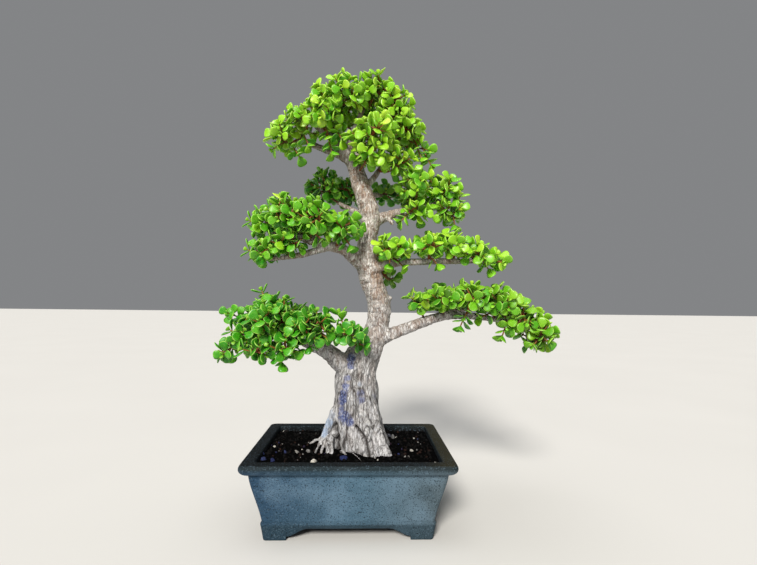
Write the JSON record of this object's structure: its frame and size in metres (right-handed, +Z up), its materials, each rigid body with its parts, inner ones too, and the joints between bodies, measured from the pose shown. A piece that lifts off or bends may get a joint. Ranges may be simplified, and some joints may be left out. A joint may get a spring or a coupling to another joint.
{
  "type": "bonsai tree in pot",
  "caption": "Dwarf jade bonsai with a flared, gently curved trunk, tiered pads of round leaves and a domed crown, planted in soil in a footed rectangular stoneware pot.",
  "frame": {"origin": "middle of the footprint of the plant and pot together, at the level that the pot's feet stand on; the pot's own middle lies 56 mm to the left of it and 10 mm in front", "axes": "+Z up; +X to the right and -Y towards the viewer as seen from the front, the pot's long side"},
  "size_m": [0.4836, 0.2256, 0.6334],
  "materials": {
    "stoneware": "matte speckled blue-grey stoneware glaze",
    "soil": "rough dark granular potting mix",
    "bark": "matte, finely wrinkled pale grey-tan bark",
    "leaf": "smooth waxy bright green leaves on thin stems",
    "screen": "matte dark plastic mesh"
  },
  "bodies": {
    "root": {"pot": "stoneware", "soil": "soil", "wood": "bark", "drain_screen_left": "screen", "drain_screen_right": "screen", "spray_low_left_1": "leaf", "spray_low_left_2": "leaf", "spray_low_left_3": "leaf", "spray_low_left_4": "leaf", "spray_low_left_5": "leaf", "spray_low_left_6": "leaf", "spray_low_left_7": "leaf", "spray_low_left_8": "leaf", "spray_low_left_9": "leaf", "spray_low_right_1": "leaf", "spray_low_right_2": "leaf", "spray_low_right_3": "leaf", "spray_low_right_4": "leaf", "spray_low_right_5": "leaf", "spray_low_right_6": "leaf", "spray_low_right_7": "leaf", "spray_low_right_8": "leaf", "spray_mid_left_1": "leaf", "spray_mid_left_2": "leaf", "spray_mid_left_3": "leaf", "spray_mid_left_4": "leaf", "spray_mid_left_5": "leaf", "spray_mid_left_6": "leaf", "spray_mid_left_7": "leaf", "spray_mid_left_8": "leaf", "spray_mid_right_1": "leaf", "spray_mid_right_2": "leaf", "spray_mid_right_3": "leaf", "spray_mid_right_4": "leaf", "spray_mid_right_5": "leaf", "spray_mid_right_6": "leaf", "spray_upper_right_1": "leaf", "spray_upper_right_2": "leaf", "spray_upper_right_3": "leaf", "spray_upper_right_4": "leaf", "spray_upper_right_5": "leaf", "spray_back_1": "leaf", "spray_back_2": "leaf", "spray_back_3": "leaf", "spray_back_4": "leaf", "spray_back_5": "leaf", "spray_apex_1": "leaf", "spray_apex_2": "leaf", "spray_apex_3": "leaf", "spray_apex_4": "leaf", "spray_apex_5": "leaf", "spray_apex_6": "leaf", "spray_apex_7": "leaf", "spray_apex_8": "leaf", "spray_apex_9": "leaf", "spray_apex_10": "leaf", "spray_apex_11": "leaf", "spray_apex_12": "leaf", "spray_apex_13": "leaf", "spray_apex_14": "leaf"}
  },
  "joints": []
}
